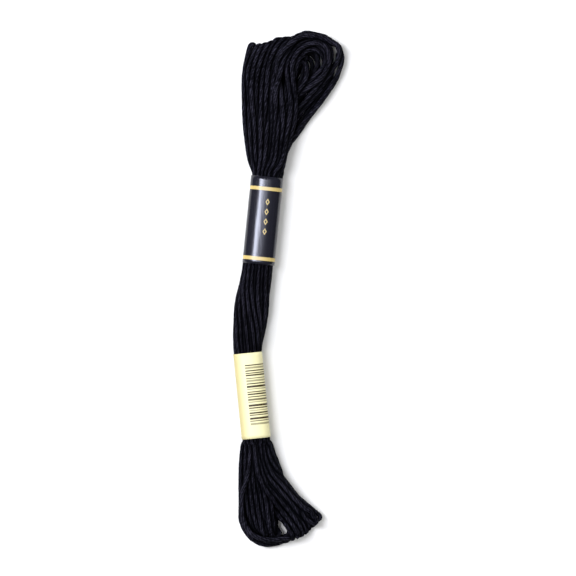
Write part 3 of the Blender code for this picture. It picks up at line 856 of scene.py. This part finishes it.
def painted_pit_shade(points, thick):
    """Painted shade for each point of the thread, by how deep it lies between higher strands: 1
    where deepest.
    """
    cell = ((points[:, :2] - points[:, :2].min(0)) / CELL).astype(int) + PIT_REACH + 1
    tops = np.zeros(cell.max(0) + PIT_REACH + 2)
    crest = points[:, 2] + thick / 2
    np.maximum.at(tops, tuple(cell.T), crest)
    sides = []
    for turn in ((1, 0), (1, 1), (0, 1), (-1, 1)):
        both = [np.max([np.roll(tops, (way * k * turn[0], way * k * turn[1]), (0, 1))
                        for k in range(1, PIT_REACH + 1)], axis=0) for way in (1, -1)]
        sides.append(np.minimum(*both))
    rim = np.mean(sides, axis=0)[tuple(cell.T)]
    return smooth_step((rim - crest - PIT_START) / PIT_DEPTH)


def groove_shade(rings, first, points, thick, pairs):
    """Painted shade for each vertex, by how near it lies to other strands: 1 where it touches
    one.
    """
    here, there = np.concatenate(pairs), np.concatenate(pairs[::-1])
    chosen = (here >= first) & (here < first + len(rings))
    here, there = here[chosen] - first, there[chosen]
    gap = np.full(rings.shape[:2], np.inf)
    for k in range(rings.shape[1]):
        room = np.linalg.norm(rings[here, k] - points[there], axis=1) - thick[there] / 2
        np.minimum.at(gap[:, k], here, room)
    return 1 - smooth_step((gap - GROOVE_SHADE_START) / GROOVE_SHADE_REACH)


def ply_profile(sizes):
    """Section of the floss: six round plies."""
    curve = bpy.data.curves.new("Ply_Section", "CURVE")
    curve.dimensions = "2D"
    spline = curve.splines.new("POLY")
    spline.use_cyclic_u = True
    spline.points.add(SECTION_POINTS - 1)
    for k, point in enumerate(spline.points):
        angle = math.tau * k / SECTION_POINTS
        reach = 1 - sizes.ply_depth * (k % PLY_POINTS == 0)
        point.co = (reach * math.cos(angle), reach * math.sin(angle), 0, 1)
    return add_object("Ply_Section", curve)


def sweep_thread(name, points, thick, sizes, profile, along):
    """One stretch of the thread as a mesh, with its plies twisted.

    Its UV map holds millimetres along the thread, and the share of the way round it.
    """
    curve = bpy.data.curves.new(name, "CURVE")
    curve.dimensions = "3D"
    curve.twist_mode = "MINIMUM"
    curve.bevel_mode = "OBJECT"
    curve.bevel_object = profile
    curve.use_fill_caps = True
    spline = curve.splines.new("POLY")
    spline.points.add(len(points) - 1)
    places = np.column_stack([points * MM, np.ones(len(points))])
    spline.points.foreach_set("co", places.ravel())
    spline.points.foreach_set("radius", thick * (MM / 2))
    spline.points.foreach_set("tilt", along * (math.tau * MM / sizes.ply_turn))
    rope = add_object(name + "_Path", curve)
    bpy.context.view_layer.update()
    mesh = bpy.data.meshes.new_from_object(
        rope.evaluated_get(bpy.context.evaluated_depsgraph_get()))
    bpy.data.objects.remove(rope, do_unlink=True)
    bpy.data.curves.remove(curve)
    mesh.name = name
    layer = mesh.uv_layers[0]
    uv = np.empty(len(mesh.loops) * 2, np.float32)
    layer.data.foreach_get("uv", uv)
    uv[::2] = along[0] + uv[::2] * (along[-1] - along[0])
    layer.data.foreach_set("uv", uv)
    layer.name = "Winding"
    mesh.shade_smooth()
    return add_object(name, mesh)


def mark_painted_shade(mesh, first, points, thick, pairs, pit_shading):
    """Gives a stretch of the thread the attribute of painted shade, which darkens it between the
    strands and where it lies low.
    """
    flat = np.empty(len(mesh.vertices) * 3)
    mesh.vertices.foreach_get("co", flat)
    rings = flat.reshape(-1, SECTION_POINTS, 3)[2:] / MM  # the first two close the ends
    painted_shade = groove_shade(rings, first, points, thick, pairs)
    # painted shade where the strand lies low between higher ones
    painted_pit = pit_shading[first:first + len(rings), None] * PIT_SHADE
    painted_shade = np.vstack([np.ones((2, SECTION_POINTS)), 1 - (1 - painted_shade) * (1 - painted_pit)])
    layer = mesh.attributes.new("Painted_Shade", "FLOAT", "POINT")
    layer.data.foreach_set("value", painted_shade.ravel())


def floss_material(sizes):
    """Dyed cotton: six plies, each a fine twisted yarn of loose fibres, with a painted highlight
    on crests and fibres and painted shade between strands.
    """
    net = Net("Dyed_Cotton", Specular_IOR_Level=0.02)
    along, around, _ = net.map_place("Winding")
    painted_shade = net.add("ShaderNodeAttribute", {"attribute_name": "Painted_Shade"}, out="Fac")
    # across a ply, from -0.5 to 0.5, and how high it is there
    ply = around * PLIES
    across = ply % 1 - 0.5
    crest = 1 - across * across * 4
    # the yarn's own turns run slantwise across its ply, and the hairs along it
    yarn = net.vector(along * YARN_TURNS + across * YARN_SLANT,
                      ply * YARN_ROUND - across * YARN_SPREAD, ply - across)
    turn = net.noise(yarn, 1.0, 1.0, 0.5)
    hairs = net.vector(along * HAIR_BREAKS, around * HAIRS, along * HAIR_DRIFT)
    fibre = net.noise(hairs, 1.0, 4.0, 0.7)
    patch = net.noise(net.object_place(), PATCHES)
    # fibre speckle and worn patches, plus a painted highlight along each ply's crest
    raised = turn * TURN_PART + fibre * HAIR_PART + crest * CREST_HIGHLIGHT_PART + patch * PATCH_PART
    # painted shade takes away the lighter colour
    wear_and_highlight = net.ease(raised, *WEAR_AND_HIGHLIGHT) * (1 - painted_shade)
    return net.finish(Base_Color=net.mix(wear_and_highlight, tuple(sizes.colour), tuple(sizes.lit)),
                      Roughness=FLOSS_ROUGHNESS - wear_and_highlight * WEAR_AND_HIGHLIGHT_SMOOTHER,
                      Normal=net.bump(turn + fibre, FIBRE_DEPTH, FIBRE_STRENGTH))


class HANK_OT_wind_floss(bpy.types.Operator):
    """Wind the floss into its hank, settle it and sweep its plies"""

    bl_idname = "object.hank_wind_floss"
    bl_label = "Wind floss"

    def execute(self, context):
        sizes, bands = context.scene.floss_sizes, context.scene.band_sizes
        steps = sizes.settling
        settled = settle(draw_thread(sizes), sizes, PAPER_LAYERS * bands.paper / MM, steps)
        points = even_curve(settled, POINT_SPACING)
        thick = thickness(points[:, 1], sizes)
        along = way_along(points)
        pairs = close_pairs(points, TOUCH_REACH)
        pit_shading = painted_pit_shade(points, thick)
        profile = ply_profile(sizes)
        cotton = floss_material(sizes)
        cuts = np.linspace(0, len(points) - 1, STRETCHES + 1).astype(int)
        for number, (first, last) in enumerate(zip(cuts, cuts[1:]), 1):
            stretch = slice(first, last + 1)
            piece = sweep_thread("Floss_Turns_%d" % number, points[stretch], thick[stretch],
                                 sizes, profile, along[stretch])
            mark_painted_shade(piece.data, first, points, thick, pairs, pit_shading)
            piece.data.materials.append(cotton)
            place_piece(piece, "floss", "Floss_Hank")
        bpy.data.objects.remove(profile, do_unlink=True)
        return {"FINISHED"}


# ---- Wrapping the bands ----

GIRTH_POINTS = 160  # steps in which a band's section is worked out
WRAP_STEPS = 180  # faces round a band's paper
WRAP_ROWS = 24  # and along it
PAPER_LIFT = 0.02  # height of the paper's face underneath above the surface
STEP_IN = 1.15  # thicknesses of paper by which the covered end lies further in
STEP_LENGTH = 1.0  # length over which the paper steps out again at the overlap

# Surface of the paper: grain and ridges for each metre, their depth and strength
PAPER_GRAIN, GRAIN_DEPTH, GRAIN_STRENGTH = 2600.0, 0.01 * MM, 0.5
RIDGES, RIDGE_DEPTH, RIDGE_STRENGTH = 620.0, 0.10 * MM, 0.35
RIDGE_STRETCH = (1.0, 0.12, 1.0)  # the ridges run along the hank
BLACK_ROUGHNESS, CREAM_ROUGHNESS = 0.20, 0.45
GOLD_ROUGHER = 0.16  # than the black

# Print, in millimetres to the right of the face's middle and up from the band's lower edge
PRINT_SOFT = 0.06  # softness of a print's edge
LOWER_LINE, UPPER_LINE = 1.8, 3.9  # from an edge to the middle of its gold line
LOZENGES = (1.0, 9.0)  # middle of their chain, and where the field of one of them starts
LOZENGE_PITCH = 3.2
LOZENGE_SLIMNESS = 1.6  # height for each millimetre of width
LOZENGE_OUTSIDE, LOZENGE_INSIDE = 1.10, 0.57  # half the height of its outline and its hollow
LOZENGE_SOFT = 0.05
CHAIN = (15.4, 6.4)  # middle and half length of the whole lozenges' stretch
PANEL = (0.2, 9.3)  # middle and half width of the cream panel
LEFT_SHADE = (-1.5, -5.2)  # where the painted shade along its left edge starts and where it is full

# Bars printed on the lower band. Thicknesses, gaps and weights of ink are taken in turn, and
# their counts differ so that the block looks irregular. It encodes nothing.
BAR_BLOCK = (3.1, 4.4)  # middle and half length of the bars
BAR_COUNT = 23
BAR_START = 4.4  # from the band's lower edge to the first bar
BAR_THICKNESSES = (0.64, 0.34, 0.62, 0.30, 0.46, 0.30, 0.36)
BAR_GAPS = (0.46, 0.34, 0.62, 0.30, 0.44)
BAR_INKS = (0.60, 0.85, 1.35, 1.20, 1.35, 0.60, 1.35, 1.35)


def band_girth(width):
    """Section of a band: a rounded square, flat underneath, as x and z from the lower left on."""
    girth = []
    for k in range(GIRTH_POINTS + 1):
        angle = math.tau * k / GIRTH_POINTS + math.pi / 2
        x, z = (math.copysign(abs(part) ** (2 / BAND_SQUARE), part)
                for part in (math.cos(angle), math.sin(angle)))
        rise = (BAND_HEIGHT - BAND_FLAT) / 2 + (BAND_HEIGHT + BAND_FLAT) / 2 * z
        girth.append((-width / 2 * x, max(rise, PAPER_LIFT)))
    return np.array(girth)


def strip_section(band, bands):
    """The strip from end to end, as x, z and the way round, and the way once round.

    It starts at the seam, where it steps in, so that its other end lies outside it.
    """
    girth = band_girth(band.width)
    lengths = way_along(girth)
    around = lengths[-1]
    middle = BAND_HEIGHT / 2
    section = []
    for s in np.linspace(0, around + bands.overlap / MM, WRAP_STEPS + 1) + band.seam:
        x, z = (np.interp(s % around, lengths, girth[:, k]) for k in (0, 1))
        covered = 1 - smooth_step((s - band.seam - around) / STEP_LENGTH + 1)
        inset = STEP_IN * bands.paper / MM * covered
        section.append((x * (1 - 2 * inset / band.width),
                        middle + (z - middle) * (1 - inset / middle), s))
    return section, around


def sort_parts(bm):
    """Puts edges and faces in the order of their corners, so that each run is the same."""
    bm.verts.index_update()
    for parts in (bm.edges, bm.faces):
        parts.sort(key=lambda part: (min(corner.index for corner in part.verts) * len(bm.verts)
                                     + max(corner.index for corner in part.verts)))


def wrap_band(name, band, bands):
    """A strip of paper wrapped once round the hank, with its ends overlapped underneath.

    Its UV map holds millimetres: round from the middle of the face, and up from the lower
    edge.
    """
    top, low = Vector(band[0:2]), Vector(band[2:4])
    along = (top - low).normalized()
    across = Vector((along.y, -along.x))
    length = (top - low).length
    section, around = strip_section(band, bands)
    bm = bmesh.new()
    round_mark = bm.verts.layers.float.new("Round")
    line = []
    for x, z, s in section:
        line.append(bm.verts.new(Vector((*(low + across * x), z)) * MM))
        line[-1][round_mark] = s
    edges = [bm.edges.new(pair) for pair in zip(line, line[1:])]
    step = Vector((*along, 0)) * (length / WRAP_ROWS * MM)
    for _ in range(WRAP_ROWS):
        made = bmesh.ops.extrude_edge_only(bm, edges=edges)["geom"]
        fresh = {part for part in made if isinstance(part, bmesh.types.BMVert)}
        bmesh.ops.translate(bm, verts=list(fresh), vec=step)
        edges = [part for part in made if isinstance(part, bmesh.types.BMEdge)
                 and fresh.issuperset(part.verts)]
    sort_parts(bm)
    print_map = bm.loops.layers.uv.new("Print")
    for face in bm.faces:
        for loop in face.loops:
            place = loop.vert.co.xy / MM - low
            loop[print_map].uv = (loop.vert[round_mark], place.dot(along))
    bmesh.ops.recalc_face_normals(bm, faces=bm.faces)
    mesh = bpy.data.meshes.new(name)
    bm.to_mesh(mesh)
    bm.free()
    mesh.shade_smooth()
    piece = add_object(name, mesh)
    wall = piece.modifiers.new("Paper", "SOLIDIFY")
    wall.thickness = bands.paper
    wall.offset = -1.0
    return piece, around, length


def paper_surface(net):
    """Fine unevenness of coated paper drawn over strands."""
    place = net.object_place()
    grain = net.noise(place, PAPER_GRAIN)
    drawn_out = net.add("ShaderNodeMapping", sockets={"Vector": place, "Scale": RIDGE_STRETCH})
    ridges = net.noise(drawn_out, RIDGES)
    return net.bump(ridges, RIDGE_DEPTH, RIDGE_STRENGTH,
                    Normal=net.bump(grain, GRAIN_DEPTH, GRAIN_STRENGTH))


def print_places(net, around):
    """Millimetres to the right of the face's middle and up from the lower edge."""
    right, up, _ = net.map_place("Print")
    return (right + around / 2) % around - around / 2, up


def stripe(net, place, middle, half):
    """1 within half of the middle, 0 outside, with a soft edge."""
    return net.ease(abs(place - middle), half + PRINT_SOFT, half - PRINT_SOFT)


def upper_paper(bands, around, length):
    """Glossy black print with a gold line near each end and a chain of lozenges."""
    net = Net("Black_Print", Specular_IOR_Level=0.5, IOR=1.5)
    right, up = print_places(net, around)
    half = bands.line / MM / 2
    lines = stripe(net, up, length - UPPER_LINE, half) + stripe(net, up, LOWER_LINE, half)
    middle, start = LOZENGES
    reach = (abs((up - start) % LOZENGE_PITCH - LOZENGE_PITCH / 2)
             + abs(right - middle) * LOZENGE_SLIMNESS)
    outside, inside = (net.ease(reach, edge + LOZENGE_SOFT, edge - LOZENGE_SOFT)
                       for edge in (LOZENGE_OUTSIDE, LOZENGE_INSIDE))
    gold = lines + outside * (1 - inside) * stripe(net, up, *CHAIN)
    colour = net.mix(gold, tuple(bands.black), tuple(bands.gold))
    return net.finish(Base_Color=colour, Roughness=BLACK_ROUGHNESS + gold * GOLD_ROUGHER,
                      Normal=paper_surface(net))


def lower_paper(bands, around, _):
    """Cream panel on black print, with a block of plain bars of different weights, and painted
    shade along the cream's left edge.
    """
    net = Net("Cream_Print", Specular_IOR_Level=0.2, IOR=1.5)
    right, up = print_places(net, around)
    bars, edge = 0.0, BAR_START
    for thick, gap, ink, _ in zip(cycle(BAR_THICKNESSES), cycle(BAR_GAPS), cycle(BAR_INKS),
                                  range(BAR_COUNT)):
        bars = bars + stripe(net, up, edge + thick / 2, thick / 2) * ink
        edge += thick + gap
    block = bars * stripe(net, right, *BAR_BLOCK)
    # painted shade: the cream darkens towards its left edge
    paper = net.mix(net.ease(right, *LEFT_SHADE), tuple(bands.cream), tuple(bands.shaded_cream))
    cream = net.mix(block, paper, tuple(bands.bars))
    colour = net.mix(stripe(net, right, *PANEL), tuple(bands.black), cream)
    return net.finish(Base_Color=colour, Roughness=CREAM_ROUGHNESS, Normal=paper_surface(net))


def wrap_piece(context, node, band, paper, slot):
    """Wraps a band's strip, prints its paper and puts it in place of the band's solid."""
    bands = context.scene.band_sizes
    piece, around, length = wrap_band(node + "_Paper", band, bands)
    piece.data.materials.append(paper(bands, around, length))
    place_piece(piece, slot, node)


class HANK_OT_wrap_upper_band(bpy.types.Operator):
    """Wrap the glossy black band with its gold lines"""

    bl_idname = "object.hank_wrap_upper_band"
    bl_label = "Wrap upper band"

    def execute(self, context):
        wrap_piece(context, "Upper_Band", UPPER_BAND, upper_paper, "black_paper")
        return {"FINISHED"}


class HANK_OT_wrap_lower_band(bpy.types.Operator):
    """Wrap the band with the cream panel and its block of bars"""

    bl_idname = "object.hank_wrap_lower_band"
    bl_label = "Wrap lower band"

    def execute(self, context):
        wrap_piece(context, "Lower_Band", LOWER_BAND, lower_paper, "cream_paper")
        return {"FINISHED"}


# ---- Floor, lights and camera, in metres ----

FLOOR_HALF = 1.5
FLOOR_DROP = 0.02 * MM  # how far the floor lies under the hank
FLOOR_SHADE = 0.985  # its darkest tone, as a share of its colour
FLOOR_CLOUDS = 4.0  # clouds of tone for each metre
SENSOR = 36.0  # width of the camera's sensor in millimetres

# Lights: place, point that it faces, size, colour
KEY_LIGHT = ((-0.62, 0.28, 0.80), (0, 0, 0), (0.42, 0.9), (0.93, 0.94, 1.0))
OVERHEAD_LIGHT = ((-0.18, 0, 0.9), (-0.18, 0, 0), (0.20, 0.9), (0.80, 0.83, 1.0))


def lay_floor(card):
    """A wide card just under the hank."""
    bm = bmesh.new()
    bmesh.ops.create_grid(bm, x_segments=1, y_segments=1, size=FLOOR_HALF)
    mesh = bpy.data.meshes.new("Floor")
    bm.to_mesh(mesh)
    bm.free()
    floor = add_object("Floor", mesh)
    floor.location.z = -FLOOR_DROP
    net = Net("Floor_Card", Roughness=0.9, Specular_IOR_Level=0.1)
    tone = net.noise(net.object_place(), FLOOR_CLOUDS)
    shade = tuple(part * FLOOR_SHADE for part in card)
    mesh.materials.append(net.finish(Base_Color=net.mix(tone, card, shade)))


def hang_light(name, place, target, size, colour, power):
    """A rectangular light that faces its target."""
    light = bpy.data.lights.new(name, "AREA")
    light.shape = "RECTANGLE"
    light.size, light.size_y = size
    light.energy = power
    light.color = colour
    lamp = add_object(name, light)
    lamp.location = place
    aim = Vector(target) - Vector(place)
    lamp.rotation_euler = aim.to_track_quat("-Z", "Y").to_euler()
    return lamp


def set_sky(strength):
    """White light from all round, which nothing mirrors."""
    world = bpy.data.worlds.new("Studio")
    world.use_nodes = True
    sky = world.node_tree.nodes["Background"]
    sky.inputs["Color"].default_value = (1.0, 1.0, 1.0, 1.0)
    sky.inputs["Strength"].default_value = strength
    world.cycles_visibility.glossy = False
    bpy.context.scene.world = world


def set_camera(looks):
    """A long lens straight above the hank."""
    lens = bpy.data.cameras.new("Camera")
    lens.lens = looks.lens
    lens.sensor_width = SENSOR
    camera = add_object("Camera", lens)
    camera.location = (0, 0, looks.picture * looks.lens / SENSOR)
    bpy.context.scene.camera = camera


class HANK_OT_set_studio(bpy.types.Operator):
    """Lay the pale floor and set the soft lights and the camera above it"""

    bl_idname = "object.hank_set_studio"
    bl_label = "Set studio"

    def execute(self, context):
        looks = context.scene.studio_looks
        lay_floor(tuple(looks.floor))
        hang_light("Key_Light", *KEY_LIGHT, looks.key).visible_glossy = False
        hang_light("Overhead_Light", *OVERHEAD_LIGHT, looks.overhead).visible_diffuse = False
        set_sky(looks.sky)
        set_camera(looks)
        context.scene.view_settings.view_transform = "Standard"
        return {"FINISHED"}


class HANK_PT_panel(bpy.types.Panel):
    """Sizes and steps of the hank"""

    bl_idname = "HANK_PT_panel"
    bl_label = "Hank of floss"
    bl_space_type = "VIEW_3D"
    bl_region_type = "UI"
    bl_category = "Hank"

    def draw(self, context):
        layout = self.layout
        for place, group in GROUPS.items():
            box = layout.box()
            for name in group.__annotations__:
                box.prop(getattr(context.scene, place), name)
        for operator in OPERATORS:
            layout.operator(operator.bl_idname)


OPERATORS = (HANK_OT_wind_floss, HANK_OT_wrap_upper_band, HANK_OT_wrap_lower_band,
             HANK_OT_set_studio)
GROUPS = {"floss_sizes": FlossSizes, "band_sizes": BandSizes, "studio_looks": StudioLooks}
CLASSES = (*GROUPS.values(), *OPERATORS, HANK_PT_panel)


def register():
    for cls in CLASSES:
        bpy.utils.register_class(cls)
    for place, group in GROUPS.items():
        setattr(bpy.types.Scene, place, bpy.props.PointerProperty(type=group))


def unregister():
    for place in GROUPS:
        delattr(bpy.types.Scene, place)
    for cls in reversed(CLASSES):
        bpy.utils.unregister_class(cls)


def main():
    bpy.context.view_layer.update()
    register()
    bpy.ops.object.hank_wind_floss()
    bpy.ops.object.hank_wrap_upper_band()
    bpy.ops.object.hank_wrap_lower_band()
    bpy.ops.object.hank_set_studio()


if __name__ == "__main__":
    main()
